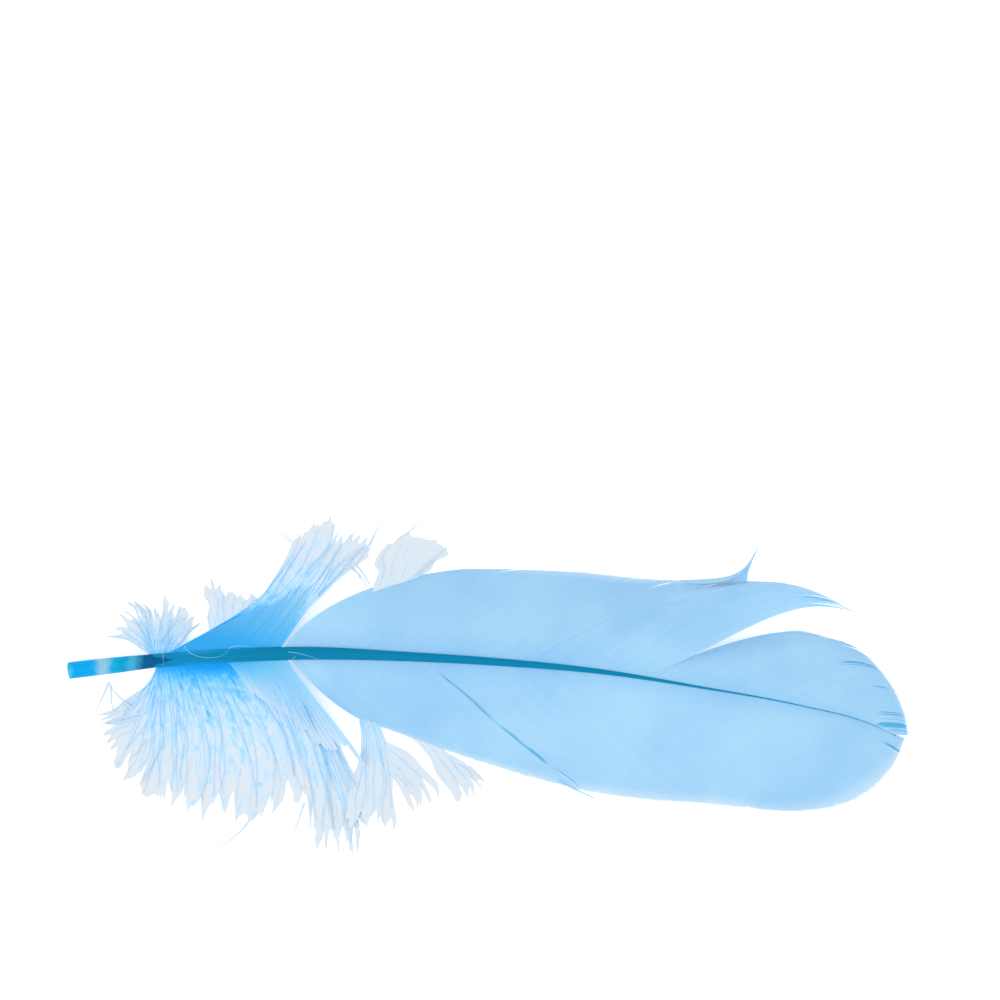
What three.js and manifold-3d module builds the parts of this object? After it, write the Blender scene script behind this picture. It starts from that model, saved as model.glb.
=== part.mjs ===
// A dyed goose feather of the kind worn in a hat band, lying on a table with its back up.
// Millimetres. While it is laid out, x runs from the cut end of the quill to the tip, y runs
// across the feather and z is the height above the table.
import * as THREE from "three";
import { mergeVertices } from "three/addons/utils/BufferGeometryUtils.js";
import Module from "manifold-3d";

// Middle of the laid-out feather's footprint, which becomes the part's origin.
const CENTRE = new THREE.Vector3(75, -3.1, 0);

// Shaft stations: [x, y, height of the centre line, radius]. The quill is the first 16 mm.
const SHAFT_STATIONS = [
  [0, 0, 1.5, 1.5],
  [7.5, 0.9, 2.0, 1.45],
  [16.4, 1.9, 2.9, 1.2],
  [29, 2.8, 4.2, 1.2],
  [43, 3.3, 5.4, 1.15],
  [60, 2.8, 6.4, 0.85],
  [77, 1.8, 6.6, 0.68],
  [95, 0.1, 6.2, 0.45],
  [113, -2.8, 5.0, 0.3],
  [131, -6.2, 3.0, 0.22],
  [143, -9.4, 1.2, 0.2],
  [148.3, -11.8, 0.4, 0.18],
];
const SHAFT_SIDES = 10;
const SHAFT_STEPS = 28;

// The quill is hollow behind its cut end.
const BORE_RADIUS = 1.05;
const BORE_END = 0.045; // share of the shaft curve
const BORE_STEPS = 3;

// Webs of the vanes. Every web is spread between guide barbs, one row each:
// [root x on the shaft, angle at the root, tip x, tip y, tip height, angle at the tip].
const WEB_THICKNESS = 0.4;
const ON_TABLE = WEB_THICKNESS / 2;
const WEB_ROWS = 8;
const RIM_SHARE = 1 / WEB_ROWS; // outer share of a barb that lies flat on the table
const UPPER_VANE = [
  [39.8, 54, 71.8, 18.2, ON_TABLE, 5],
  [52.1, 40, 87.9, 18.0, ON_TABLE, 10],
  [68.2, 38, 105.7, 16.4, ON_TABLE, 12],
  [82.5, 36, 120.0, 16.2, ON_TABLE, 10],
  [95.0, 32, 131.6, 14.8, 0.8, -18],
  [102.1, 21, 140.2, 10.7, 1.6, -14],
];
const UPPER_TIP = [
  [102.3, 20, 132.9, 7.1, ON_TABLE, 0],
  [112.9, 24, 142.5, 3.2, ON_TABLE, -35],
  [125.4, 24, 147.3, -2.3, ON_TABLE, -40],
  [137.9, 20, 149.5, -7.3, ON_TABLE, -25],
  [147.2, -10, 150.0, -11.4, ON_TABLE, -10],
];
const LOWER_VANE = [
  [40.9, -56, 52.5, -9.1, 0.5, -36],
  [52.1, -42, 73.6, -16.6, ON_TABLE, -38],
  [65.5, -42, 95.0, -22.5, ON_TABLE, -36],
  [87.9, -40, 116.4, -24.5, ON_TABLE, -30],
  [102.1, -38, 130.7, -25.0, ON_TABLE, -25],
  [116.4, -36, 140.5, -23.0, ON_TABLE, -28],
  [130.7, -34, 147.1, -17.3, ON_TABLE, -28],
  [146.6, -25, 149.3, -12.7, ON_TABLE, -20],
];
const UPPER_BASE = [
  [17.9, 22, 41.4, 23.4, 0.6, 75],
  [28.9, 40, 46.8, 27.1, 0.6, 60],
  [39.5, 48, 52.1, 24.1, 0.6, 60],
];
const LOWER_BASE = [
  [18.6, -35, 23.6, -7.9, 1.2, -75],
  [26.2, -35, 34.6, -11.4, 1.2, -65],
  [34.3, -40, 44.6, -12.7, 1.2, -60],
  [39.8, -48, 49.5, -14.5, 1.2, -58],
];

// Locks of down and loose barbs. The bow is the sideways bend of a lock as a share of its
// length, to the left when positive.
const LOCK_WIDTH = 2.8;
const LOCK_THICKNESS = 0.5;
const LOCK_LIFT = 0.28; // least height of a lock's middle above the table
const LOCK_STEPS = 5;

// Locks that grow from the shaft: [root x, tip x, tip y, tip height, bow].
const SHAFT_LOCKS = [
  [16.0, 4.8, -7.6, 0.4, 0.1],
  [16.2, 6.0, -10.6, 0.3, 0.1],
  [16.4, 7.2, -15.2, 0.4, 0.12],
  [16.8, 9.0, -19.6, 0.3, 0.14],
  [17.2, 12.0, -21.0, 0.4, 0.1],
  [17.8, 14.6, -24.0, 0.3, 0.1],
  [18.4, 17.2, -26.0, 0.4, 0.08],
  [19.4, 20.7, -24.1, 0.3, 0.08],
  [16.0, 7.0, 6.1, 0.4, -0.08],
  [16.2, 8.4, 8.4, 0.3, -0.1],
  [16.4, 9.6, 10.5, 0.4, -0.1],
  [16.8, 12.0, 11.8, 0.3, -0.1],
  [17.2, 14.8, 12.2, 0.4, -0.06],
  [17.6, 17.3, 12.7, 0.3, -0.06],
  [18.2, 21.1, 10.5, 0.4, -0.08],
  [19.0, 23.6, 8.8, 0.5, -0.1],
  [20.0, 24.8, 16.8, 0.3, -0.12],
  [21.4, 27.5, 14.8, 0.4, -0.12],
  [23.0, 31.6, 13.6, 0.5, -0.1],
];

// Locks that grow from a web, their roots spread evenly between two places on it. A place is
// [share of the way along the web, share of the way from the shaft to the edge], and a lock is
// [tip x, tip y, tip height, bow].
const WEB_LOCKS = [
  {
    web: LOWER_BASE,
    from: [0.02, 0.93],
    to: [0.98, 0.93],
    tips: [
      [22.6, -22.5, 0.5, 0.08],
      [24.5, -25.5, 0.3, 0.06],
      [27.1, -25.7, 0.5, 0.06],
      [27.1, -32.3, 0.3, 0.02],
      [29.8, -28.4, 0.3, 0.06],
      [32.4, -25.5, 0.5, 0.05],
      [35.0, -26.6, 0.3, 0.05],
      [38.2, -24.6, 0.5, 0.05],
      [40.2, -24.1, 0.3, 0.05],
      [42.4, -29.5, 0.5, 0.05],
      [44.6, -32.0, 0.3, 0.05],
      [46.8, -33.0, 0.5, 0.04],
      [48.6, -32.9, 0.3, 0.04],
      [51.2, -33.4, 0.3, 0.04],
      [53.6, -30.6, 0.5, 0.04],
      [55.4, -28.0, 0.3, 0.03],
      [53.2, -17.7, 0.6, 0.03],
    ],
  },
  {
    web: LOWER_VANE,
    from: [0.01, 0.95],
    to: [0.11, 0.95],
    tips: [
      [57.4, -22.0, 0.3, -0.08],
      [58.0, -25.7, 0.4, -0.1],
      [59.3, -21.2, 0.3, -0.08],
      [60.7, -25.9, 0.4, -0.1],
      [64.3, -24.5, 0.3, -0.08],
      [66.6, -23.6, 0.4, -0.06],
      [71.8, -23.6, 0.3, -0.05],
      [74.1, -21.2, 0.4, -0.04],
    ],
  },
  {
    web: UPPER_BASE,
    from: [0.05, 0.75],
    to: [0.95, 0.95],
    tips: [
      [37.6, 25.0, 0.5, 0.06],
      [55.6, 26.2, 0.4, 0.1],
    ],
  },
  {
    web: UPPER_VANE,
    from: [0.02, 0.48],
    to: [0.02, 0.75],
    tips: [
      [52.9, 20.2, 0.6, 0.1],
      [54.8, 25.7, 0.4, 0.08],
      [59.6, 23.4, 0.5, 0.08],
      [61.4, 25.7, 0.3, 0.08],
      [64.6, 23.4, 0.4, 0.06],
      [68.2, 21.8, 0.3, 0.06],
    ],
  },
  {
    web: UPPER_VANE,
    from: [0.49, 0.93],
    to: [0.52, 0.93],
    tips: [
      [121.0, 18.2, 0.9, -0.08],
      [123.0, 21.8, 2.2, -0.22],
    ],
  },
];

const wasm = await Module();
wasm.setup();

const SHAFT = new THREE.CatmullRomCurve3(
  SHAFT_STATIONS.map(([x, y, z]) => new THREE.Vector3(x, y, z)),
);

// Radius of the shaft at a share of its curve, straight between the stations.
function shaftRadius(share) {
  const place = share * (SHAFT_STATIONS.length - 1);
  const before = Math.min(Math.floor(place), SHAFT_STATIONS.length - 2);
  const thick = SHAFT_STATIONS[before][3];
  const thin = SHAFT_STATIONS[before + 1][3];
  return THREE.MathUtils.lerp(thick, thin, place - before);
}

// Point of the shaft's centre line at a given x, found by halving.
function shaftPoint(x) {
  let low = 0;
  let high = 1;
  for (let halving = 0; halving < 30; halving += 1) {
    const middle = (low + high) / 2;
    if (SHAFT.getPoint(middle).x < x) {
      low = middle;
    } else {
      high = middle;
    }
  }
  return SHAFT.getPoint(low);
}

// Moves every corner of a plain geometry to its place and makes a closed solid of it.
function bentSolid(geometry, place) {
  geometry.deleteAttribute("normal");
  geometry.deleteAttribute("uv");
  const welded = mergeVertices(geometry);
  const corner = new THREE.Vector3();
  const corners = welded.attributes.position;
  for (let index = 0; index < corners.count; index += 1) {
    corner.fromBufferAttribute(corners, index);
    corners.setXYZ(index, ...place(corner).toArray());
  }
  const mesh = new wasm.Mesh({
    numProp: 3,
    vertProperties: new Float32Array(corners.array),
    triVerts: new Uint32Array(welded.index.array),
  });
  return new wasm.Manifold(mesh);
}

// A round rod along the shaft curve from its cut end to the given share of it.
function rodAlongShaft(endShare, steps, radiusAt) {
  const rod = new THREE.CylinderGeometry(1, 1, 1, SHAFT_SIDES, steps);
  return bentSolid(rod, (corner) => {
    const share = (corner.y + 0.5) * endShare;
    const along = SHAFT.getTangent(share);
    const side = new THREE.Vector3(along.y, -along.x, 0).normalize();
    const up = new THREE.Vector3().crossVectors(side, along);
    const radius = radiusAt(share);
    const point = SHAFT.getPoint(share);
    point.addScaledVector(side, corner.x * radius);
    return point.addScaledVector(up, corner.z * radius);
  });
}

function shaftSolid() {
  const rod = rodAlongShaft(1, SHAFT_STEPS, shaftRadius);
  const bore = rodAlongShaft(BORE_END, BORE_STEPS, () => BORE_RADIUS);
  return rod.subtract(bore);
}

// A curve that leaves the root and meets the tip at the given angles in plan.
function barbCurve(root, rootAngle, tip, tipAngle) {
  const handle = Math.hypot(tip.x - root.x, tip.y - root.y) / 3;
  const turn = THREE.MathUtils.degToRad;
  const leave = new THREE.Vector3(Math.cos(turn(rootAngle)), Math.sin(turn(rootAngle)), 0);
  const arrive = new THREE.Vector3(Math.cos(turn(tipAngle)), Math.sin(turn(tipAngle)), 0);
  const first = root.clone().addScaledVector(leave, handle);
  const second = tip.clone().addScaledVector(arrive, -handle);
  return new THREE.CubicBezierCurve3(root, first, second, tip);
}

// The middle surface of a web, spread smoothly between its guide barbs and lying on the table
// along its rim: a function of the share along the web and the share out from the shaft.
function webSurface(guides) {
  const barbs = guides.map(([rootX, rootAngle, tipX, tipY, tipHeight, tipAngle]) => {
    const tip = new THREE.Vector3(tipX, tipY, tipHeight);
    return barbCurve(shaftPoint(rootX), rootAngle, tip, tipAngle);
  });
  const rails = ["v0", "v1", "v2", "v3"].map(
    (control) => new THREE.CatmullRomCurve3(barbs.map((barb) => barb[control])),
  );
  return (share, out) => {
    const barb = new THREE.CubicBezierCurve3(...rails.map((rail) => rail.getPoint(share)));
    const droop = barb.getPoint(Math.min(1, out / (1 - RIM_SHARE)));
    const point = barb.getPoint(out);
    point.z = Math.max(ON_TABLE, droop.z);
    return point;
  };
}

function webSolid(guides, columns) {
  const surface = webSurface(guides);
  const above = guides[0][1] > 0;
  const sheet = new THREE.BoxGeometry(1, 1, 1, columns, WEB_ROWS, 1);
  return bentSolid(sheet, (corner) => {
    const share = above ? 0.5 + corner.x : 0.5 - corner.x;
    const point = surface(share, 0.5 + corner.y);
    point.z += corner.z * WEB_THICKNESS;
    return point;
  });
}

// A flat lock of down that swells from its root and tapers to its tip.
function lockSolid(root, [tipX, tipY, tipHeight, bow]) {
  const tip = new THREE.Vector3(tipX, tipY, tipHeight);
  const heading = THREE.MathUtils.radToDeg(Math.atan2(tip.y - root.y, tip.x - root.x));
  const swing = THREE.MathUtils.radToDeg(Math.atan(4 * bow));
  const curve = barbCurve(root, heading + swing, tip, heading - swing);
  const blade = new THREE.BoxGeometry(1, 1, 1, 1, LOCK_STEPS, 1);
  return bentSolid(blade, (corner) => {
    const out = corner.y + 0.5;
    const along = curve.getTangent(out);
    const side = new THREE.Vector3(along.y, -along.x, 0).normalize();
    const fullness = 0.35 + 0.65 * Math.sin(Math.PI * out);
    const point = curve.getPoint(out);
    point.addScaledVector(side, corner.x * fullness * LOCK_WIDTH);
    point.z += corner.z * LOCK_THICKNESS;
    return point;
  });
}

function shaftLockSolids() {
  return SHAFT_LOCKS.map(([rootX, ...lock]) => lockSolid(shaftPoint(rootX), lock));
}

function webLockSolids({ web, from, to, tips }) {
  const surface = webSurface(web);
  return tips.map((lock, index) => {
    const step = index / (tips.length - 1);
    const share = THREE.MathUtils.lerp(from[0], to[0], step);
    const out = THREE.MathUtils.lerp(from[1], to[1], step);
    const root = surface(share, out);
    root.z = Math.max(LOCK_LIFT, root.z);
    return lockSolid(root, lock);
  });
}

function featherSolid() {
  const solids = [
    webSolid(UPPER_VANE, 20),
    webSolid(UPPER_TIP, 12),
    webSolid(LOWER_VANE, 28),
    webSolid(UPPER_BASE, 8),
    webSolid(LOWER_BASE, 8),
    ...shaftLockSolids(),
    ...WEB_LOCKS.flatMap(webLockSolids),
  ];
  return solids.reduce((whole, solid) => whole.add(solid), shaftSolid());
}

// The one grown piece, moved so that the middle of its footprint is the origin.
function featherMesh() {
  const { vertProperties, triVerts } = featherSolid().getMesh();
  const geometry = new THREE.BufferGeometry();
  geometry.setAttribute("position", new THREE.BufferAttribute(vertProperties, 3));
  geometry.setIndex(new THREE.BufferAttribute(triVerts, 1));
  geometry.translate(-CENTRE.x, -CENTRE.y, -CENTRE.z);
  const dyedKeratin = new THREE.MeshStandardMaterial({
    color: 0xa2d4fc,
    roughness: 0.7,
    metalness: 0,
  });
  const mesh = new THREE.Mesh(geometry, dyedKeratin);
  mesh.name = "feather";
  return mesh;
}

const part = new THREE.Group();
part.add(featherMesh());

export default part;
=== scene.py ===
"""Looks of a dyed goose feather: its shaft, the barbs of its vanes and the down at its base.

The feather is laid out in millimetres, with x from the cut end of the quill to the tip, y across
the feather and z up from the table. Meshes are made from that in metres, in the part's frame.
"""

import bpy
import numpy as np
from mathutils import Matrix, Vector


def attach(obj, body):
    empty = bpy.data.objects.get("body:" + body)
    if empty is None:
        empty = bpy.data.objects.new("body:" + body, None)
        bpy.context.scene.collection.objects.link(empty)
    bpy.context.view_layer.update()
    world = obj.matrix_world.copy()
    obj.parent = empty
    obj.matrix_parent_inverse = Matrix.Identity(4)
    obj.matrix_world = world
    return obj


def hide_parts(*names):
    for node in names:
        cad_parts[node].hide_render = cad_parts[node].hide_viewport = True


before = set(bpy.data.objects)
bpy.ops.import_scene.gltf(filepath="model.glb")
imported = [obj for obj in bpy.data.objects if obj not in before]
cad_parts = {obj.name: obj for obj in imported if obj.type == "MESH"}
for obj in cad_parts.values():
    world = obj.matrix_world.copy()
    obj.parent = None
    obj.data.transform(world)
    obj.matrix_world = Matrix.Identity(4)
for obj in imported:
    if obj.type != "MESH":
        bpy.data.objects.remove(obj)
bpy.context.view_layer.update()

MM = 0.001
CENTRE = np.array([75.0, -3.1, 0.0])  # middle of the laid-out feather's footprint
UP = np.array([0.0, 0.0, 1.0])
RNG = np.random.default_rng(11)
CAMERA_PLACE = (0.00214, 0.03364, 0.499)  # in metres

# Shaft stations: x, y, height of the centre line, radius.
SHAFT_STATIONS = np.array(
    [
        [0, 0, 1.5, 1.5],
        [7.5, 0.9, 2.0, 1.45],
        [16.4, 1.9, 2.9, 1.2],
        [29, 2.8, 4.2, 1.2],
        [43, 3.3, 5.4, 1.15],
        [60, 2.8, 6.4, 0.85],
        [77, 1.8, 6.6, 0.68],
        [95, 0.1, 6.2, 0.45],
        [113, -2.8, 5.0, 0.22],
        [131, -6.2, 3.0, 0.11],
        [143, -9.4, 1.2, 0.08],
        [148.3, -11.8, 0.4, 0.05],
    ]
)
SHAFT_STEPS = 150
SHAFT_CROWDING = 1.15  # above one sets the rings closer together at the quill
SHAFT_CORNERS = 20
BORE_RADIUS = 1.05
BORE_DEPTH = 6.0

# Guide barbs of the webs: root x on the shaft, angle at the root, tip x, tip y, tip height,
# angle at the tip.
ON_TABLE = 0.15
UPPER_VANE = [
    [38.2, 58, 71.8, 18.2, ON_TABLE, 5],
    [52.1, 40, 87.9, 18.0, ON_TABLE, 10],
    [68.2, 38, 105.7, 16.4, ON_TABLE, 12],
    [82.5, 36, 120.0, 16.2, ON_TABLE, 10],
    [95.0, 32, 131.6, 14.8, 0.8, -18],
    [102.1, 18, 142.4, 9.5, 1.6, -33],
]
UPPER_TIP = [
    [102.3, 23, 132.9, 7.1, ON_TABLE, 0],
    [112.9, 24, 142.5, 3.2, ON_TABLE, -35],
    [125.4, 24, 147.6, -2.3, ON_TABLE, -40],
    [137.9, 20, 150.0, -7.3, ON_TABLE, -25],
    [147.2, -12, 150.6, -11.7, ON_TABLE, -12],
]
LOWER_VANE = [
    [39.4, -54, 52.5, -9.1, 0.5, -30],
    [52.1, -42, 73.6, -16.6, ON_TABLE, -38],
    [65.5, -42, 95.0, -22.5, ON_TABLE, -36],
    [87.9, -40, 116.4, -24.5, ON_TABLE, -30],
    [102.1, -38, 130.7, -25.6, ON_TABLE, -25],
    [116.4, -36, 141.1, -23.6, ON_TABLE, -28],
    [130.7, -34, 147.6, -17.9, ON_TABLE, -28],
    [146.6, -20, 149.9, -12.3, ON_TABLE, -16],
]
UPPER_BASE = [
    [15.8, 32, 40.2, 22.5, 0.6, 78],
    [28.5, 38, 46.4, 26.2, 0.6, 62],
    [37.2, 56, 50.4, 21.5, 0.6, 52],
]
LOWER_BASE = [
    [27.5, -32, 33.0, -3.8, 3.2, -50],
    [31.0, -38, 37.8, -7.4, 2.5, -55],
    [35.5, -42, 44.0, -12.2, 2.2, -58],
    [38.4, -58, 52.2, -16.0, 2.6, -56],
]
BARB_PITCH = 0.42  # along the shaft
BARB_STEPS = 34
BARB_OVERLAP = 1.25
BARB_RIDGE = 0.05
BARB_CLEARANCE = 0.01  # lowest edge of a barb above the table
BARB_TONES = (0.3, 1.0)  # palest at the upper end
BARB_NARROWING = 0.8  # below one narrows a loose barb sooner
FOOT_SAMPLES = 500  # places that measure the foot of a web along the shaft
CLUMP_BARBS = 11  # barbs that keep together, on average
CLUMP_STEP = 0.07
CLUMP_POWER = 8  # keeps the steps of clumps to the ends of their barbs
WAVE_COUNT = (1.0, 1.6)  # along a loose barb
WAVE_DRIFT = 0.5  # in radians, from one loose barb to the next
WAVE_STRAY = 0.6  # share of the wave by which loose barbs also lie apart

# Guide barbs of fans of matted down that are rooted in the shaft, given in the same way.
FAN_BELOW = [
    [15.9, -95, 4.6, -7.6, 0.4, -165],
    [16.0, -95, 6.2, -12.2, 0.3, -150],
    [16.1, -92, 8.8, -19.6, 0.3, -130],
    [16.6, -86, 14.8, -23.6, 0.3, -108],
    [18.2, -74, 20.0, -25.2, 0.3, -105],
    [21.0, -62, 25.0, -27.5, 0.3, -108],
    [25.0, -54, 32.5, -27.5, 0.3, -112],
    [29.5, -50, 39.5, -25.0, 0.3, -108],
    [33.5, -50, 44.5, -32.0, 0.3, -96],
    [36.5, -54, 48.0, -33.0, 0.3, -92],
    [37.6, -64, 51.4, -33.4, 0.3, -88],
    [38.4, -62, 54.9, -27.0, 0.5, -72],
]
FAN_SAG = 1.2
FAN_ABOVE = [
    [15.6, 130, 5.2, 6.3, 0.4, 175],
    [15.7, 120, 8.2, 10.6, 0.4, 190],
    [15.9, 112, 9.6, 13.2, 0.4, 165],
    [16.2, 100, 14.3, 12.8, 0.4, 120],
    [16.6, 88, 18.0, 13.6, 0.4, 92],
    [17.2, 70, 22.0, 10.8, 0.5, 35],
    [17.8, 55, 25.0, 8.8, 0.6, 20],
]
BASE_CROWN = [
    [16.0, 32, 39.6, 22.6, 1.1, 82],
    [22.0, 32, 42.6, 26.6, 1.0, 80],
    [28.0, 38, 47.8, 27.4, 1.0, 72],
    [32.0, 42, 49.6, 24.8, 1.0, 65],
    [35.0, 44, 51.8, 25.8, 1.0, 60],
    [36.2, 54, 53.8, 23.4, 1.0, 48],
    [37.0, 57, 54.0, 20.5, 1.0, 30],
]

# Guide barbs of matted down that hangs from a web: the root's x, y and height, the angle there,
# then the tip's x, y and height and the angle there.
HEM_STRIP = [
    [51.8, -9.1, 0.6, -75, 48.6, -28.6, 0.5, -95],
    [53.0, -8.4, 0.6, -65, 54.4, -28.4, 0.6, -92],
    [54.8, -8.6, 0.6, -58, 58.2, -29.4, 0.3, -92],
]
HEM_WING = [
    [56.6, -12.8, 0.5, -20, 66.8, -22.5, 0.3, -70],
    [56.8, -15.0, 0.5, -40, 64.1, -24.6, 0.3, -75],
    [57.2, -18.0, 0.5, -60, 61.1, -25.7, 0.3, -80],
]
HEM_FRINGE = [
    [61.0, -12.0, 0.4, -40, 68.2, -23.9, 0.3, -72],
    [65.6, -13.6, 0.4, -45, 71.8, -23.4, 0.3, -70],
    [68.4, -15.2, 0.4, -45, 73.6, -21.2, 0.3, -55],
    [70.6, -16.4, 0.4, -45, 75.0, -19.8, 0.3, -40],
]
BASE_TUFT = [
    [25.3, 7.0, 2.3, 110, 23.8, 14.6, 0.5, 125],
    [27.0, 8.0, 2.1, 110, 25.4, 17.1, 0.4, 120],
    [28.8, 9.1, 1.9, 95, 28.4, 14.4, 0.5, 100],
    [30.5, 10.2, 1.7, 80, 31.6, 13.9, 0.6, 60],
    [33.0, 12.0, 1.4, 60, 34.3, 13.4, 0.8, 40],
]
VANE_LEAF = [
    [54.2, 13.6, 2.75, 75, 54.8, 20.0, 0.6, 110],
    [55.0, 13.9, 2.6, 65, 57.0, 22.6, 0.5, 70],
    [56.3, 14.4, 2.3, 55, 59.6, 24.4, 0.4, 60],
    [57.7, 14.9, 2.0, 45, 63.0, 23.8, 0.4, 40],
    [59.0, 15.4, 1.75, 38, 67.0, 22.6, 0.4, 28],
    [59.8, 15.6, 1.6, 35, 68.4, 21.9, 0.4, 25],
    [60.6, 15.9, 1.45, 32, 66.8, 20.4, 0.5, 28],
    [61.9, 16.2, 1.2, 30, 64.4, 18.0, 0.6, 30],
]

# Barbs that have left the edge of a vane: the first and last of a thorn of closed-up ones in the
# upper vane, and the two of a free sliver in the lower vane, given in the same way.
THORN_EDGES = [
    [109.5, 15.9, 0.35, 2, 117.0, 16.6, 0.8, 40],
    [121.2, 15.4, 0.35, 92, 123.4, 22.2, 2.2, 62],
]
THORN_BARBS = 22
THORN_BARB_WIDTH = 0.6
THORN_HOLLOW = 2.7  # above one hollows the edge that the tips make
SLIVER = [
    [87.6, -19.7, 0.5, -32, 94.2, -23.1, 0.2, -22],
    [88.4, -20.2, 0.45, -32, 95.0, -23.3, 0.2, -22],
]
SLIVER_BARB_WIDTH = 0.3
TIP_Y = 5  # place of the tip's y in these rows
LOOSE_TIP = 0.02  # keeps some width at the tip
LOOSE_TINTS = (0.3, 0.95)  # at the root and at the tip

# Single loose barbs of down, and hairs that lie across the shaft, given in the same way.
WISPS = [
    [11.3, -7.3, 0.2, 130, 7.0, -2.1, 1.0, 110],
    [7.0, -2.1, 1.0, -110, 4.3, -7.9, 0.4, -115],
    [7.3, -2.6, 0.9, -85, 7.7, -7.3, 0.4, -75],
    [12.9, -8.4, 0.4, 190, 5.2, -9.6, 0.4, 175],
    [33.0, -25.7, 0.2, -120, 26.4, -32.1, 0.2, -150],
    [42.0, -23.9, 0.2, -110, 39.6, -29.6, 0.2, -125],
    [48.6, 18.4, 1.5, 20, 53.2, 15.0, 1.2, -75],
    [49.2, 19.2, 1.4, 0, 52.4, 15.6, 1.2, -70],
    [49.8, 19.6, 1.3, -10, 53.8, 15.4, 1.2, -60],
    [40.4, 22.5, 1.0, 140, 37.1, 25.0, 0.6, 150],
    [53.8, 22.5, 1.0, 70, 55.7, 26.3, 0.8, 60],
    [58.8, 23.4, 0.4, 35, 62.7, 26.6, 0.4, 50],
]
HAIRS = [
    [20.9, 4.6, 4.6, -70, 29.0, 4.2, 5.6, 70],
    [29.0, 4.2, 5.6, 30, 33.0, 4.6, 5.8, 0],
    [17.2, 5.4, 4.4, -95, 17.2, 0.8, 4.2, -88],
    [38.4, 0.9, 6.2, 35, 41.0, 2.9, 6.5, 40],
    [39.6, 3.6, 6.5, -5, 45.0, 2.3, 6.6, -20],
    [45.9, 1.6, 6.5, -30, 48.9, -1.0, 6.0, -40],
    [51.6, 1.4, 6.6, -30, 54.0, 0.4, 6.4, -20],
]
FILM_ROWS = 26
FILM_COLUMN = 0.28  # along the rim
FILM_THICKNESS = 0.06
FILM_CLEARANCE = 0.1  # lowest middle of a film above the table
FILM_SWAY = 0.3  # sideways, at the rim
FILM_LIFT = 0.03  # up and down, at the rim
FILM_DIP = 0.8
SWAY_WAVES = [(12, 1.4), (4.5, -2.2)]  # length along the rim, turns on the way out
LIFT_WAVES = [(8, 0.8), (3.2, -1.3)]
TEAR_SPACING = (0.3, 1.7)  # of the tears in a rim, against each other
RIM_NOISE = 0.016
FADE_POWER = 0.75  # below one fades the dye sooner on the way out
STRAND_STEPS = 24
STRAND_RADIUS = 0.04
STRAND_FLATNESS = 0.35
STRAND_TAPER = 0.7
STRAND_REACH = (0.85, 1.03)  # share of the rim's reach
STRAND_STRAY = 0.03  # share of the fan, at the rim
STRAND_WAVES = (1.2, 3.8)  # along a strand
STRAND_SWINGS = (0.1, 1.0)  # share of the fan's largest wave
STRAND_RISE = 0.06  # highest above the film
STRAND_TINT = 0.4  # share of the film's paleness
WISP_RADIUS = 0.28
WISP_TINT = 0.92
HAIR_TINT = 0.5
BARBULE_RADIUS = 0.009
BARBULE_LENGTH = 1.3
BARBULE_SHORTEST = 0.3  # share of that length
BARBULE_SPACING = 0.16
BARBULE_START = 0.3  # share of the barb that is free of them
BARBULE_END = 0.9999  # share of the barb where the last may stand
BARBULE_LEAN = (20, 60)  # degrees away from the barb
BARBULE_TILT = 0.35  # in radians, up or down
BARBULE_CLEARANCE = 0.04  # lowest tip above the table

# Cracks between hooked barbs: share along the web, start and end along the barb, widest gap,
# and the spread of painted shade on the barbs beside it, as if they curled down.
CRACK_SPREAD = 6  # barbs that make room beside a crack
UPPER_CRACKS = [
    [0.46, 0.82, 0.97, 0.25, 1],
    [0.6, 0.8, 0.95, 0.2, 1],
    [0.93, 0.7, 1.1, 0.3, 2],
    [0.965, 0.72, 1.15, 0.3, 0.5],
    [0.985, 0.66, 1.1, 0.35, 0.5],
]
BASE_CRACKS = [[0.3, 0.5, 0.75, 0.35, 1], [0.62, 0.5, 0.7, 0.3, 1], [0.8, 0.6, 0.85, 0.3, 1]]
UPPER_TIP_CRACKS = [
    [0.12, 0.8, 1.1, 0.3, 0.5],
    [0.22, 0.78, 1.15, 0.3, 0.5],
    [0.3, 0.75, 1.1, 0.3, 0.5],
    [0.42, 0.55, 1.05, 0.1, 3],
    [0.6, 0.6, 1.0, 0.05, 2],
    [0.8, 0.3, 1.1, 0.1, 3],
    [0.9, -0.1, 1.2, 0.1, 5],
]
LOWER_CRACKS = [
    [0.268, 0.06, 0.5, 0.22, 1],
    [0.25, 0.38, 0.5, 0.04, 1],
    [0.268, 0.46, 0.66, 0.06, 1],
    [0.268, 0.6, 0.8, 0.06, 2],
    [0.27, 0.76, 1.0, 0.25, 1],
    [0.55, 0.6, 0.68, 0.1, 0.5],
    [0.93, 0.6, 1.1, 0.15, 3],
]

BLACK = (0, 0, 0)
WHITE = (255, 255, 255)

# Colour ramps: place along the barb or shaft, from 0 at its root to 1 at its tip, and screen colour.
SHAFT_STOPS = [
    (0.008, (90, 190, 226)),
    (0.016, (0, 158, 222)),
    (0.042, (0, 160, 226)),
    (0.052, (140, 190, 215)),
    (0.058, (128, 186, 212)),
    (0.066, (18, 164, 214)),
    (0.082, (0, 150, 198)),
    (0.092, (70, 168, 204)),
    (0.100, (0, 88, 138)),
    (0.138, (0, 84, 134)),
    (0.146, (8, 128, 176)),
    (0.200, (4, 126, 170)),
    (0.245, (0, 122, 163)),
    (0.700, (0, 126, 168)),
    (1.000, (30, 138, 186)),
]
VANE_STOPS = [
    (0.0, (174, 224, 250)),
    (0.2, (190, 231, 251)),
    (0.88, (192, 232, 251)),
    (1.0, (230, 243, 252)),
]
BASE_STOPS = [
    (0.0, (60, 200, 255)),
    (0.35, (130, 220, 255)),
    (0.7, (196, 236, 255)),
    (1.0, (232, 244, 253)),
]
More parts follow.
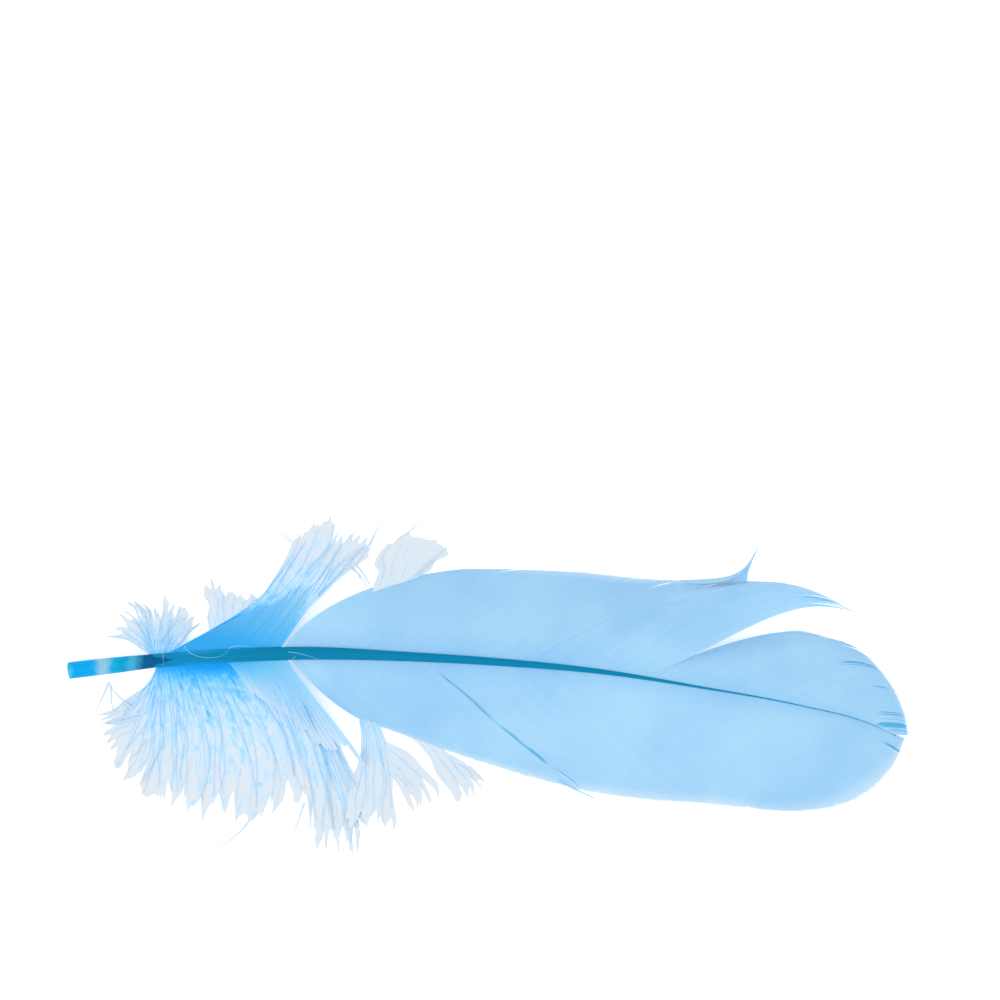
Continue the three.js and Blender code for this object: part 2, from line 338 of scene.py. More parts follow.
FILM_STOPS = [
    (0.0, (6, 150, 232)),
    (0.06, (66, 176, 240)),
    (0.12, (116, 194, 244)),
    (0.22, (154, 206, 246)),
    (0.38, (182, 216, 242)),
    (0.6, (200, 220, 236)),
    (1.0, (212, 219, 226)),
]
DOWN_STOPS = [
    (0.0, (40, 176, 248)),
    (0.2, (126, 210, 253)),
    (0.5, (178, 224, 251)),
    (1.0, (216, 225, 233)),
]

# Tints over those colours, by a barb's own tone and by how cloudy the dye is. A tone below the barbs'
# own range is painted shade along cracks, at the darkest stop.
TONE_STOPS = [(0.0, (143, 219, 240)), (0.3, (246, 251, 255)), (1.0, WHITE)]
CLOUD_STOPS = [(0.35, (236, 246, 254)), (0.65, WHITE)]

# Along the shaft: where the wedge of pith starts, where the sides are bluer and their colour.
PITH_START = [(0.095, BLACK), (0.105, WHITE)]
BLUE_SIDES = [(0.12, BLACK), (0.15, WHITE), (0.24, BLACK)]
SIDE_COLOUR = (30, 160, 220)
SIDE_POWER = 3.0  # above one keeps that colour nearer the edges
PITH_WEDGE = 0.04  # share of the shaft's length
DYE_DRIFT = 0.024  # the same, by which cloudy dye shifts the colours

# Streaks of dye on a fan of matted down: how many, and how strongly they shift the ramp.
STREAKS_ACROSS = 48.0
STREAKS_OUT = 11.0
STREAK_GAIN = 2.8
STREAK_BASE = -0.4


def smooth(stations, values, at):
    """Values between their stations on a cubic curve through them."""
    stations = np.asarray(stations, float)
    values = np.asarray(values, float)
    at = np.asarray(at, float)
    slopes = np.gradient(values, stations, axis=0)
    before = np.clip(np.searchsorted(stations, at, side="right") - 1, 0, len(stations) - 2)
    column = (-1,) + (1,) * (values.ndim - 1)
    gap = (stations[before + 1] - stations[before]).reshape(column)
    t = (at - stations[before]).reshape(column) / gap
    low, high = values[before], values[before + 1]
    rise_low, rise_high = slopes[before] * gap, slopes[before + 1] * gap
    return (
        (2 * t**3 - 3 * t**2 + 1) * low
        + (t**3 - 2 * t**2 + t) * rise_low
        + (3 * t**2 - 2 * t**3) * high
        + (t**3 - t**2) * rise_high
    )


def shaft_at(x):
    """Points of the shaft's centre line at the given x."""
    return smooth(SHAFT_STATIONS[:, 0], SHAFT_STATIONS[:, :3], np.atleast_1d(x))


def unit(vectors):
    return vectors / np.maximum(np.linalg.norm(vectors, axis=-1, keepdims=True), 1e-9)


def heading(degrees):
    """Level unit vectors at the given angles from +x."""
    turn = np.radians(degrees)
    return np.stack([np.cos(turn), np.sin(turn), np.zeros_like(turn)], axis=-1)


def curve_controls(root, root_angle, tip, tip_angle):
    """Control points of curves that leave their roots and meet their tips at these angles."""
    handle = np.linalg.norm((tip - root)[:, :2], axis=1)[:, None] / 3
    first = root + heading(root_angle) * handle
    second = tip - heading(tip_angle) * handle
    return np.stack([root, first, second, tip], axis=1)


def curve_points(controls, out):
    """Points of many cubic curves at shares of the way along, the same for all or one row each."""
    u = np.atleast_2d(out)[:, :, None]
    p = controls[:, :, None, :]
    return (
        (1 - u) ** 3 * p[:, 0]
        + 3 * u * (1 - u) ** 2 * p[:, 1]
        + 3 * u**2 * (1 - u) * p[:, 2]
        + u**3 * p[:, 3]
    )


def sides(points):
    """Unit vectors to the left of curves and out of their upper side."""
    along = unit(np.gradient(points, axis=1))
    left = unit(np.cross(UP, along))
    return left, np.cross(along, left)


def web_controls(guides):
    """Control points of guide barbs that are rooted in the shaft."""
    rows = np.array(guides, float)
    return curve_controls(shaft_at(rows[:, 0]), rows[:, 1], rows[:, 2:5], rows[:, 5])


def loose_controls(guides):
    """Control points of guide barbs with roots of their own."""
    rows = np.array(guides, float)
    return curve_controls(rows[:, :3], rows[:, 3], rows[:, 4:7], rows[:, 7])


def spread(controls, shares):
    """Control points of barbs at shares of the way along a web, between its guide barbs."""
    return smooth(np.linspace(0, 1, len(controls)), controls, shares)


def web_barbs(guides, reach):
    """Shares along a web of its barbs, set evenly along the shaft, with their curves and the
    steps from each to the next. Each barb keeps a share of its length, within the range reach."""
    controls = web_controls(guides)
    fine = np.linspace(0, 1, FOOT_SAMPLES)
    roots = spread(controls, fine)[:, 0]
    run = np.concatenate([[0], np.cumsum(np.linalg.norm(np.diff(roots, axis=0), axis=1))])
    count = int(run[-1] / BARB_PITCH)
    shares = np.interp(np.linspace(0, run[-1], count), run, fine)
    kept = RNG.uniform(*reach, (count, 1))
    out = np.linspace(0, 1, BARB_STEPS)[None, :] * kept
    controls = spread(controls, shares)
    controls[:, :2] += (shaft_at(controls[:, 0, 0]) - controls[:, 0])[:, None]
    points = curve_points(controls, out)
    points[..., 2] = np.maximum(points[..., 2], ON_TABLE)
    along = unit(np.gradient(points, axis=1))
    apart = np.gradient(points, axis=0)
    apart = apart - along * np.sum(apart * along, axis=-1, keepdims=True)
    return shares, points, apart


class Body:
    """Corners and faces of one piece as they are gathered, with two numbers per corner: the
    share of the way out along its barb, and the barb's own tone."""

    def __init__(self):
        self.points = []
        self.faces = []
        self.reach = []
        self.tone = []
        self.count = 0

    def add(self, points, faces, reach, tone):
        self.points.append(points.reshape(-1, 3))
        self.faces.extend((face + self.count).tolist() for face in faces)
        self.reach.append(np.broadcast_to(reach, points.shape[:-1]).ravel())
        self.tone.append(np.broadcast_to(tone, points.shape[:-1]).ravel())
        self.count += len(self.points[-1])

    def add_tubes(self, rings, reach, tone):
        """Closed tubes; rings is tubes by steps by corners by 3, turning left over the top.
        The reach and tone are given in as many of these ways as they vary."""
        tubes, steps, corners, _ = rings.shape
        index = np.arange(tubes * steps * corners).reshape(tubes, steps, corners)
        after = np.roll(index, -1, axis=2)
        walls = [index[:, :-1], after[:, :-1], after[:, 1:], index[:, 1:]]
        faces = [np.stack(walls, axis=-1).reshape(-1, 4), index[:, 0, ::-1], index[:, -1]]
        self.add(rings, faces, reach, tone)

    def add_sheet(self, upper, lower, reach, tone):
        """A closed thin sheet between the grids of its upper and lower sides."""
        columns, rows, _ = upper.shape
        index = np.arange(columns * rows).reshape(columns, rows)
        below = columns * rows
        quads = np.stack([index[:-1, :-1], index[1:, :-1], index[1:, 1:], index[:-1, 1:]], axis=-1)
        quads = quads.reshape(-1, 4)
        rim = np.concatenate([index[:-1, 0], index[-1, :-1], index[:0:-1, -1], index[0, :0:-1]])
        after = np.roll(rim, -1)
        walls = np.stack([rim, rim + below, after + below, after], axis=-1)
        faces = [quads, quads[:, ::-1] + below, walls]
        across = upper[1:, 1:] - upper[:-1, :-1]
        along = upper[:-1, 1:] - upper[1:, :-1]
        if np.cross(across, along)[..., 2].sum() < 0:
            faces = [face[:, ::-1] for face in faces]
        self.add(np.stack([upper, lower]), faces, reach, tone)

    def add_spikes(self, roots, tips, radius, reach, tone):
        """Closed three-sided spikes."""
        along = unit(tips - roots)
        nearly_up = UP + 0.01  # gives upright spikes a side too
        across = unit(np.cross(along, nearly_up))
        over = np.cross(along, across)
        turns = np.radians([0, 120, 240])
        ring = across[:, None] * np.cos(turns)[:, None] + over[:, None] * np.sin(turns)[:, None]
        corners = np.concatenate([roots[:, None] + radius * ring, tips[:, None]], axis=1)
        index = np.arange(len(roots) * 4).reshape(-1, 4)
        shape = [[0, 1, 3], [1, 2, 3], [2, 0, 3], [2, 1, 0]]
        faces = [index[:, corner] for corner in shape]
        self.add(corners, faces, reach[:, None], tone[:, None])

    def piece(self, name, material, slot):
        """Makes the mesh with its numbers and ties it to the part."""
        points = (np.concatenate(self.points) - CENTRE) * MM
        faces = [face for block in self.faces for face in block]
        mesh = bpy.data.meshes.new(name)
        mesh.from_pydata(points.tolist(), [], faces)
        for label, values in (("reach", self.reach), ("tone", self.tone)):
            numbers = mesh.attributes.new(label, "FLOAT", "POINT")
            numbers.data.foreach_set("value", np.concatenate(values).astype(np.float32))
        mesh.materials.append(material)
        piece = bpy.data.objects.new(name, mesh)
        bpy.context.collection.objects.link(piece)
        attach(piece, "root")
        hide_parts("feather")
        return piece


def linear(red, green, blue):
    """Scene colour of a screen colour given from 0 to 255."""
    screen = np.array([red, green, blue]) / 255
    scene = np.where(screen <= 0.04045, screen / 12.92, ((screen + 0.055) / 1.055) ** 2.4)
    return (*scene.tolist(), 1.0)


def new_material(name):
    material = bpy.data.materials.new(name)
    material.use_nodes = True
    nodes = material.node_tree.nodes
    return material, nodes, material.node_tree.links, nodes["Principled BSDF"]


def new_ramp(nodes, stops):
    """A colour ramp; stops are pairs of place and colour."""
    ramp = nodes.new("ShaderNodeValToRGB")
    elements = ramp.color_ramp.elements
    while len(elements) < len(stops):
        elements.new(0.5)
    for element, (place, colour) in zip(elements, stops):
        element.position = place
        element.color = linear(*colour)
    return ramp


def number(nodes, name):
    """Output of a number that the corners of a mesh carry."""
    attribute = nodes.new("ShaderNodeAttribute")
    attribute.attribute_name = name
    return attribute.outputs["Fac"]


def feed(links, socket, value):
    """Links a socket to an output, or sets it to a number or a colour."""
    if hasattr(value, "is_output"):
        links.new(value, socket)
    else:
        socket.default_value = value


def math_node(nodes, links, operation, *values):
    node = nodes.new("ShaderNodeMath")
    node.operation = operation
    for socket, value in zip(node.inputs, values):
        feed(links, socket, value)
    return node.outputs[0]


def mix_colours(nodes, links, share, first, second, how="MIX"):
    mix = nodes.new("ShaderNodeMix")
    mix.data_type = "RGBA"
    mix.blend_type = how
    for socket, value in ((0, share), (6, first), (7, second)):
        feed(links, mix.inputs[socket], value)
    return mix.outputs[2]


def new_noise(nodes, links, place, scale, detail, distortion=0.0):
    noise = nodes.new("ShaderNodeTexNoise")
    noise.inputs["Scale"].default_value = scale
    noise.inputs["Detail"].default_value = detail
    noise.inputs["Distortion"].default_value = distortion
    links.new(place, noise.inputs["Vector"])
    return noise.outputs[0]


def sheer(nodes, links, shader, colour, share):
    """Lets part of the light through a surface."""
    through = nodes.new("ShaderNodeBsdfTranslucent")
    links.new(colour, through.inputs["Color"])
    mix = nodes.new("ShaderNodeMixShader")
    mix.inputs[0].default_value = share
    links.new(shader.outputs[0], mix.inputs[1])
    links.new(through.outputs[0], mix.inputs[2])
    links.new(mix.outputs[0], nodes["Material Output"].inputs["Surface"])


def barb_material(name, stops, through=0.0):
    """Dyed keratin barbs: colour along each barb, a tone of its own that painted shade along cracks
    darkens, and cloudy dye.
    """
    material, nodes, links, shader = new_material(name)
    ramp = new_ramp(nodes, stops)
    links.new(number(nodes, "reach"), ramp.inputs[0])
    place = nodes.new("ShaderNodeTexCoord").outputs["Object"]
    cloud = new_noise(nodes, links, place, scale=60, detail=3)
    tones = new_ramp(nodes, TONE_STOPS)
    links.new(number(nodes, "tone"), tones.inputs[0])
    clouds = new_ramp(nodes, CLOUD_STOPS)
    links.new(cloud, clouds.inputs[0])
    toned = mix_colours(nodes, links, 1.0, ramp.outputs[0], tones.outputs[0], "MULTIPLY")
    dyed = mix_colours(nodes, links, 1.0, toned, clouds.outputs[0], "MULTIPLY")
    links.new(dyed, shader.inputs["Base Color"])
    shader.inputs["Roughness"].default_value = 0.62
    shader.inputs["Specular IOR Level"].default_value = 0.3
    shader.inputs["Sheen Weight"].default_value = 0.1
    if through > 0:
        sheer(nodes, links, shader, dyed, through)
    return material


def film_material():
    """Matted down: blue near the shaft, pale at the rim, streaked along its barbs."""
    material, nodes, links, shader = new_material("film_keratin")
    reach = number(nodes, "reach")
    place = nodes.new("ShaderNodeCombineXYZ")
    across = math_node(nodes, links, "MULTIPLY", number(nodes, "tone"), STREAKS_ACROSS)
    outward = math_node(nodes, links, "MULTIPLY", reach, STREAKS_OUT)
    links.new(across, place.inputs[0])
    links.new(outward, place.inputs[1])
    streaks = new_noise(nodes, links, place.outputs[0], scale=1, detail=2, distortion=0.8)
    pull = math_node(nodes, links, "MULTIPLY_ADD", streaks, STREAK_GAIN, STREAK_BASE)
    pulled = math_node(nodes, links, "MULTIPLY", pull, reach)
    ramp = new_ramp(nodes, FILM_STOPS)
    links.new(pulled, ramp.inputs[0])
    links.new(ramp.outputs[0], shader.inputs["Base Color"])
    shader.inputs["Roughness"].default_value = 0.8
    shader.inputs["Specular IOR Level"].default_value = 0.15
    return material


def shaft_material():
    """Smooth dyed keratin: bright at the quill, cloudy behind its cut end, dark where the pith
    starts, in a wedge along the top, and deep turquoise with bluer sides from there on."""
    material, nodes, links, shader = new_material("shaft_keratin")
    place = nodes.new("ShaderNodeTexCoord").outputs["Object"]
    cloud = new_noise(nodes, links, place, scale=420, detail=4)
    reach = number(nodes, "reach")
    side = number(nodes, "tone")
    drift = math_node(nodes, links, "MULTIPLY_ADD", cloud, DYE_DRIFT, reach)
    start = new_ramp(nodes, PITH_START)
    links.new(reach, start.inputs[0])
    wedge = math_node(nodes, links, "MULTIPLY", start.outputs[0], side)
    along = math_node(nodes, links, "MULTIPLY_ADD", wedge, PITH_WEDGE, drift)
    ramp = new_ramp(nodes, SHAFT_STOPS)
    links.new(along, ramp.inputs[0])
    reached = new_ramp(nodes, BLUE_SIDES)
    links.new(reach, reached.inputs[0])
    edge = math_node(nodes, links, "POWER", side, SIDE_POWER)
    share = math_node(nodes, links, "MULTIPLY", edge, reached.outputs[0])
    colour = mix_colours(nodes, links, share, ramp.outputs[0], linear(*SIDE_COLOUR))
    links.new(colour, shader.inputs["Base Color"])
    fibre = new_noise(nodes, links, place, scale=1800, detail=2)
    relief = nodes.new("ShaderNodeBump")
    relief.inputs["Strength"].default_value = 0.15
    relief.inputs["Distance"].default_value = 0.0001
    links.new(fibre, relief.inputs["Height"])
    links.new(relief.outputs[0], shader.inputs["Normal"])
    shader.inputs["Roughness"].default_value = 0.42
    shader.inputs["Specular IOR Level"].default_value = 0.05
    return material


def make_shaft(material):
    """The tapering shaft, hollow behind the cut end of the quill."""
    x = SHAFT_STATIONS[-1, 0] * np.linspace(0, 1, SHAFT_STEPS) ** SHAFT_CROWDING
    centre = shaft_at(x)
    radius = smooth(SHAFT_STATIONS[:, 0], SHAFT_STATIONS[:, 3], x)
    inner = x[x < BORE_DEPTH][::-1]
    path = np.concatenate([shaft_at(inner), centre])[None]
    radii = np.concatenate([np.full(len(inner), BORE_RADIUS), radius])
    left, over = sides(centre[None])
    left = np.concatenate([left[:, : len(inner)][:, ::-1], left], axis=1)
    over = np.concatenate([over[:, : len(inner)][:, ::-1], over], axis=1)
    turns = np.linspace(0, 2 * np.pi, SHAFT_CORNERS, endpoint=False)
    ring = left[:, :, None] * np.cos(turns)[:, None] + over[:, :, None] * np.sin(turns)[:, None]
    rings = path[:, :, None] + ring * radii[None, :, None, None]
    reach = np.concatenate([inner, x]) / SHAFT_STATIONS[-1, 0]
    body = Body()
    body.add_tubes(rings, reach[None, :, None], np.abs(np.cos(turns)))
    piece = body.piece("shaft", material, "shaft")
    piece.data.polygons.foreach_set("use_smooth", np.ones(len(piece.data.polygons), bool))
    return piece


def barb_rings(points, width):
    """Four-cornered rings of barbs that overlap their neighbours, ridged along the middle."""
    left, over = sides(points)
    half = width[..., None] / 2
    ridge = np.minimum(BARB_RIDGE, half)
    corners = [
        points + left * half - over * ridge / 4,
        points + over * ridge,
        points - left * half - over * ridge / 4,
        points - over * ridge,
    ]
    rings = np.stack(corners, axis=2)
    rings[..., 2] = np.maximum(rings[..., 2], BARB_CLEARANCE)
    return rings


def bump(out, start, end):
    """Rises from zero at start and falls back to zero at end."""
    return np.sin(np.pi * np.clip((out - start) / (end - start), 0, 1)) ** 2


def crack_shift(shares, out, cracks):
    """How far each barb is pushed towards the next one to open the cracks in its web."""
    index = np.arange(len(shares))
    shift = np.zeros((len(shares), len(out)))
    for place, start, end, gap, _ in cracks:
        steps = index - np.interp(place, shares, index)
        push = np.sign(steps) * np.exp(-np.abs(steps) / CRACK_SPREAD) * gap / 2
        shift += push[:, None] * bump(out, start, end)[None, :]
    return shift


def painted_crease_shade(shares, out, cracks):
    """Painted shade on the barbs beside a crack, as if they curled down along it: how much their tone
    drops.
    """
    index = np.arange(len(shares))
    depth = np.zeros((len(shares), len(out)))
    for place, start, end, _, shade_spread in cracks:
        steps = index - np.interp(place, shares, index)
        near = np.where(steps > 0, np.exp(-steps / shade_spread), 0)
        depth += near[:, None] * bump(out, start, end)[None, :]
    return depth


def clump_shift(count, out):
    """Small steps at the ends of the barbs, the same for the barbs of a clump."""
    breaks = RNG.random(count) < 1 / CLUMP_BARBS
    clump = np.cumsum(breaks)
    steps = RNG.normal(0, CLUMP_STEP, clump[-1] + 1)[clump]
    return steps[:, None] * out[None, :] ** CLUMP_POWER


def add_web(
    body, guides, reach=(0.992, 1.0), cracks=(), loose_from=0.95, thin_to=0.05, wave=0.0, pale=(0, 0)
):
    """The barbs of a web. From loose_from on they narrow to thin_to and may wave apart. The dye
    at the roots of the first and the last barb is as faded as pale says."""
    shares, points, apart = web_barbs(guides, reach)
    count = len(points)
    out = np.linspace(0, 1, BARB_STEPS)
    loose = np.clip((out - loose_from) / (1 - loose_from), 0, 1)[None, :]
    width = np.linalg.norm(apart, axis=-1) * BARB_OVERLAP
    width = width * (1 - (1 - thin_to) * loose**BARB_NARROWING)
    shift = crack_shift(shares, out, cracks) + clump_shift(count, out)
    phase = np.cumsum(RNG.normal(0, WAVE_DRIFT, (count, 1)), axis=0)
    waves = RNG.uniform(*WAVE_COUNT, (count, 1))
    shift += wave * loose * np.sin(2 * np.pi * waves * out + phase)
    shift += wave * loose * RNG.normal(0, WAVE_STRAY, (count, 1))
    points = points + unit(apart) * shift[..., None]
    start = np.linspace(*pale, count)[:, None]
    tint = np.clip(start + (1 - start) * out, 0, 1)
    # painted shade along the cracks lowers the tone of the barbs beside them
    tone = RNG.uniform(*BARB_TONES, (count, 1)) - painted_crease_shade(shares, out, cracks)
    body.add_tubes(barb_rings(points, width), tint[..., None], np.clip(tone, 0, 1)[..., None])


def add_loose_barbs(body, rows, width):
    """A few barbs that have come out of a web together."""
    out = np.linspace(0, 1, BARB_STEPS)
    points = curve_points(loose_controls(rows), out)
    widths = np.broadcast_to(width * np.sqrt(np.clip(1 + LOOSE_TIP - out, 0, 1)), points.shape[:2])
    tint = np.linspace(*LOOSE_TINTS, BARB_STEPS)
    tone = RNG.uniform(*BARB_TONES, len(points))
    body.add_tubes(barb_rings(points, widths), tint[:, None], tone[:, None, None])


def add_thorn(body):
    """Barbs at the edge of the upper vane that have closed up into a thorn."""
    first, last = np.array(THORN_EDGES, float)
    rows = np.linspace(first, last, THORN_BARBS)
    hollow = np.linspace(0, 1, THORN_BARBS) ** THORN_HOLLOW
    rows[:, TIP_Y] = first[TIP_Y] + (last[TIP_Y] - first[TIP_Y]) * hollow
    add_loose_barbs(body, rows, THORN_BARB_WIDTH)


def make_vanes(material):
    upper = Body()
    add_web(upper, UPPER_VANE, cracks=UPPER_CRACKS, loose_from=0.97)
    add_web(upper, UPPER_TIP, reach=(0.975, 1.0), cracks=UPPER_TIP_CRACKS, loose_from=0.93)
    add_thorn(upper)
    upper.piece("upper_vane", material, "vane")
    lower = Body()
    add_web(lower, LOWER_VANE, reach=(0.99, 1.0), cracks=LOWER_CRACKS, loose_from=0.97)
    add_loose_barbs(lower, SLIVER, SLIVER_BARB_WIDTH)
    lower.piece("lower_vane", material, "vane")


def make_base_webs(material):
    body = Body()
    ragged = {"loose_from": 0.5, "thin_to": 0.15, "wave": 0.3}
    even = {"loose_from": 0.85, "thin_to": 0.6, "wave": 0.05}
    add_web(body, UPPER_BASE, reach=(0.75, 1.0), cracks=BASE_CRACKS, pale=(-0.4, 0.0), **ragged)
    add_web(body, LOWER_BASE, reach=(0.85, 1.1), pale=(-0.15, 0.4), **even)
    body.piece("base_webs", material, "vane")


def rim_length(controls):
    return np.linalg.norm(np.diff(controls[:, 3], axis=0), axis=1).sum()


def ripple(across, out, waves):
    """The sum of waves across a fan that turn on their way out."""
    return sum(np.sin(2 * np.pi * (across / length + turns * out)) for length, turns in waves)


def fan_points(controls, shares, out):
    """Points of matted down at shares across its fan and out along its barbs, gently rippled."""
    points = curve_points(spread(controls, shares), out)
    left, _ = sides(points)
    across = shares[:, None] * rim_length(controls)
    sway = ripple(across, out, SWAY_WAVES)
    lift = ripple(across, out, LIFT_WAVES)
    points = points + left * (FILM_SWAY * sway * out)[..., None]
    points[..., 2] += FILM_LIFT * lift * out - FILM_DIP * np.clip(out * (1 - out), 0, 1)
    points[..., 2] = np.maximum(points[..., 2], FILM_CLEARANCE)
    return points


def torn_rim(shares, points, depth, taper):
    """How far the columns of a sheet reach: in full at its points, less in the tears between.
    A taper below one makes a thin spike and above one a broad tooth with narrow tears."""
    tears = np.concatenate([[0], np.cumsum(RNG.uniform(*TEAR_SPACING, points))])
    tears = tears / tears[-1]
    lock = np.clip(np.searchsorted(tears, shares, side="right") - 1, 0, points - 1)
    off = np.abs(2 * (shares - tears[lock]) / (tears[lock + 1] - tears[lock]) - 1)
    depth = RNG.uniform(*depth, points)[lock]
    taper = RNG.uniform(*taper, points)[lock]
    return 1 - depth * off**taper + RNG.normal(0, RIM_NOISE, len(shares))


def faded(pale, shares, out):
    """How far the dye has faded: as pale says at the roots of the first and the last barb, and
    in full at the rim."""
    start = (pale[0] + (pale[1] - pale[0]) * shares)[:, None]
    return np.clip(start + (1 - start) * np.clip(out, 0, 1) ** FADE_POWER, 0, 1)


def add_film(body, controls, points, depth, pale, taper):
    """A thin sheet of matted down, torn into points along its rim."""
    columns = int(rim_length(controls) / FILM_COLUMN)
    shares = np.linspace(0, 1, columns)
    reach = torn_rim(shares, points, depth, taper)
    out = np.linspace(0, 1, FILM_ROWS)[None, :] * reach[:, None]
    middle = fan_points(controls, shares, out)
    half = UP * FILM_THICKNESS / 2
    tone = np.broadcast_to(shares[:, None], out.shape)
    body.add_sheet(middle + half, middle - half, faded(pale, shares, out), tone)
    return shares, reach


def strand_points(controls, shares, start, reach, wave):
    """Curves of single barbs that lie on matted down, each waved in its own way."""
    count = len(shares)
    out = start + np.linspace(0, 1, STRAND_STEPS)[None, :] * (reach - start)[:, None]
    strayed = np.clip(shares + RNG.normal(0, STRAND_STRAY, count), 0, 1)
    stray = out[..., None]
    points = (1 - stray) * fan_points(controls, shares, out) + stray * fan_points(controls, strayed, out)
    left, _ = sides(points)
    turns = RNG.uniform(*STRAND_WAVES, (count, 1)) * out + RNG.random((count, 1))
    swing = wave * RNG.uniform(*STRAND_SWINGS, (count, 1)) * out
    points = points + left * (np.sin(2 * np.pi * turns) * swing)[..., None]
    rise = np.clip(4 * out * (1 - out), 0, 1) ** 0.5
    points[..., 2] += FILM_THICKNESS / 2 + RNG.uniform(0, STRAND_RISE, (count, 1)) * rise
    return points, out


def add_strands(body, points, tint, radius=STRAND_RADIUS):
    """Thin tapering shafts of down barbs, flattened."""
    left, over = sides(points)
    thin = radius * (1 - STRAND_TAPER * np.linspace(0, 1, points.shape[1]))[None, :, None, None]
    turns = np.radians([90, 210, 330])
    flat = STRAND_FLATNESS * np.sin(turns)
    ring = left[:, :, None] * np.cos(turns)[:, None] + over[:, :, None] * flat[:, None]
    tone = RNG.uniform(*BARB_TONES, len(points))
    body.add_tubes(points[:, :, None] + ring * thin, tint[..., None], tone[:, None, None])
    return tone


def add_barbules(body, points, tint, tone):
    """Fine free barbules along both sides of down barbs."""
    lengths = np.linalg.norm(np.diff(points, axis=1), axis=-1).sum(axis=1)
    counts = (2 * lengths * (1 - BARBULE_START) / BARBULE_SPACING).astype(int)
    barb = np.repeat(np.arange(len(points)), counts)
    order = np.arange(counts.sum()) - np.repeat(np.cumsum(counts) - counts, counts)
    out = BARBULE_START + (1 - BARBULE_START) * (order + RNG.random(len(order))) / counts[barb]
    step = np.clip(out, 0, BARBULE_END) * (points.shape[1] - 1)
    before = step.astype(int)
    share = (step - before)[:, None]
    near, far = points[barb, before], points[barb, before + 1]
    roots = near * (1 - share) + far * share
    along = unit(far - near)
    left = unit(np.cross(UP, along)) * np.where(order % 2, 1, -1)[:, None]
    tilt = RNG.normal(0, BARBULE_TILT, len(order))[:, None]
    lean = np.radians(RNG.uniform(*BARBULE_LEAN, len(order)))[:, None]
    side = left * np.cos(tilt) + UP * np.sin(tilt)
    length = BARBULE_LENGTH * RNG.uniform(BARBULE_SHORTEST, 1.0, len(order))
    tips = roots + (along * np.cos(lean) + side * np.sin(lean)) * length[:, None]
    tips[:, 2] = np.maximum(tips[:, 2], BARBULE_CLEARANCE)
    body.add_spikes(roots, tips, BARBULE_RADIUS, tint[barb, before], tone[barb])


def add_fan(film, fibres, controls, points, depth, strands, pale, start=0.0, wave=0.3, taper=(0.5, 0.9)):
    """Matted down, torn into points, with single strands on it from start on. The depth of the
    tears and their taper are ranges, and pale is for its first and its last barb."""
    shares, reach = add_film(film, controls, points, depth, pale, taper)
    places = np.clip((np.arange(strands) + RNG.random(strands)) / strands, 0, 1)
    longest = np.interp(places, shares, reach) * RNG.uniform(*STRAND_REACH, strands)
    curves, out = strand_points(controls, places, start, longest, wave)
    tint = faded(pale, places, out)
    tone = add_strands(fibres, curves, STRAND_TINT * tint)
    add_barbules(fibres, curves, tint, tone)


def add_wisps(body, guides, tint, radius):
    """Single loose barbs."""
    points = curve_points(loose_controls(guides), np.linspace(0, 1, STRAND_STEPS))
    tint = np.full(points.shape[:2], tint)
    tone = add_strands(body, points, tint, radius)
    return points, tint, tone


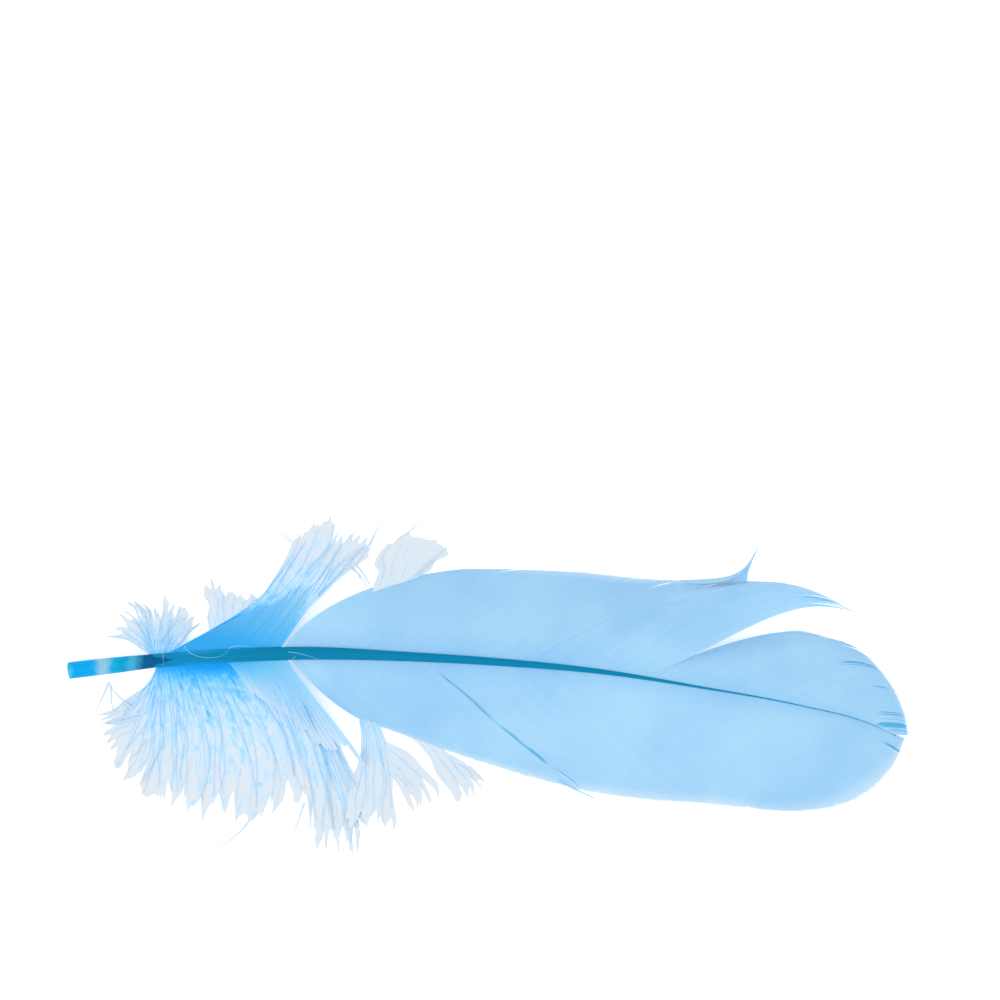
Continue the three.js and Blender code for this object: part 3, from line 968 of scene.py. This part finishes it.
def make_down(film_keratin, down_keratin):
    film, fibres = Body(), Body()
    below = web_controls(FAN_BELOW)
    below[:, 1:3, 2] -= FAN_SAG
    ragged = {"wave": 0.7, "taper": (0.35, 1.3)}
    add_fan(film, fibres, below, points=27, depth=(0.03, 0.22), strands=72, pale=(0.0, -0.35), **ragged)
    film.piece("film_below", film_keratin, "down")
    fibres.piece("down_below", down_keratin, "down")
    film, fibres = Body(), Body()
    above = web_controls(FAN_ABOVE)
    spiky = {"depth": (0.1, 0.55), "taper": (0.35, 0.8)}
    add_fan(film, fibres, above, points=13, strands=34, pale=(0.2, -0.1), **spiky)
    tuft = loose_controls(BASE_TUFT)
    add_fan(film, fibres, tuft, points=6, depth=(0.1, 0.55), strands=6, pale=(0.5, 0.5))
    crown = web_controls(BASE_CROWN)
    add_fan(film, fibres, crown, points=11, depth=(0.0, 0.16), strands=26, pale=(-1.1, -0.25), start=0.5)
    leaf = loose_controls(VANE_LEAF)
    add_fan(film, fibres, leaf, points=8, depth=(0.0, 0.12), strands=4, pale=(0.8, 0.8), wave=0.15)
    strip = loose_controls(HEM_STRIP)
    add_fan(film, fibres, strip, points=5, depth=(0.05, 0.2), strands=7, pale=(0.3, 0.3))
    comb = {"wave": 0.1, "taper": (1.5, 2.5)}
    wing = loose_controls(HEM_WING)
    add_fan(film, fibres, wing, points=5, depth=(0.35, 0.6), strands=3, pale=(0.8, 0.8), **comb)
    fringe = loose_controls(HEM_FRINGE)
    add_fan(film, fibres, fringe, points=6, depth=(0.3, 0.55), strands=4, pale=(0.7, 0.7), **comb)
    add_barbules(fibres, *add_wisps(fibres, WISPS, WISP_TINT, WISP_RADIUS))
    add_wisps(fibres, HAIRS, HAIR_TINT, STRAND_RADIUS)
    film.piece("film_at_webs", film_keratin, "down")
    fibres.piece("down_at_webs", down_keratin, "down")


def make_floor():
    mesh = bpy.data.meshes.new("floor")
    half = 3.0  # of its side, in metres
    corners = [(-half, -half, 0), (half, -half, 0), (half, half, 0), (-half, half, 0)]
    mesh.from_pydata(corners, [], [(0, 1, 2, 3)])
    floor = bpy.data.objects.new("floor", mesh)
    bpy.context.collection.objects.link(floor)
    material, _, _, shader = new_material("floor_paint")
    shader.inputs["Base Color"].default_value = (0.9, 0.9, 0.9, 1)
    shader.inputs["Roughness"].default_value = 0.9
    shader.inputs["Emission Color"].default_value = (1, 1, 1, 1)
    shader.inputs["Emission Strength"].default_value = 0.4
    mesh.materials.append(material)


def add_area_light(name, place, aim, size, power):
    light = bpy.data.lights.new(name, "AREA")
    light.size = size
    light.energy = power
    lamp = bpy.data.objects.new(name, light)
    lamp.location = place
    direction = np.array(aim) - np.array(place)
    lamp.rotation_euler = Vector(direction).to_track_quat("-Z", "Y").to_euler()
    bpy.context.collection.objects.link(lamp)


def make_light():
    world = bpy.data.worlds.new("studio")
    world.use_nodes = True
    background = world.node_tree.nodes["Background"]
    background.inputs["Color"].default_value = (1, 1, 1, 1)
    background.inputs["Strength"].default_value = 0.9
    scene = bpy.context.scene
    scene.world = world
    scene.view_settings.view_transform = "Standard"
    add_area_light("key", place=(-0.3, -0.2, 1.1), aim=(0, 0, 0), size=0.8, power=4.5)


def make_camera():
    """Looks straight down, with the feather below the middle of the image."""
    camera = bpy.data.cameras.new("camera")
    camera.lens = 100
    camera.sensor_width = 36
    eye = bpy.data.objects.new("camera", camera)
    eye.location = CAMERA_PLACE
    bpy.context.collection.objects.link(eye)
    bpy.context.scene.camera = eye


make_camera()
make_light()
make_floor()
make_shaft(shaft_material())
make_vanes(barb_material("vane_keratin", VANE_STOPS, through=0.3))
make_base_webs(barb_material("base_keratin", BASE_STOPS, through=0.3))
make_down(film_material(), barb_material("down_keratin", DOWN_STOPS))
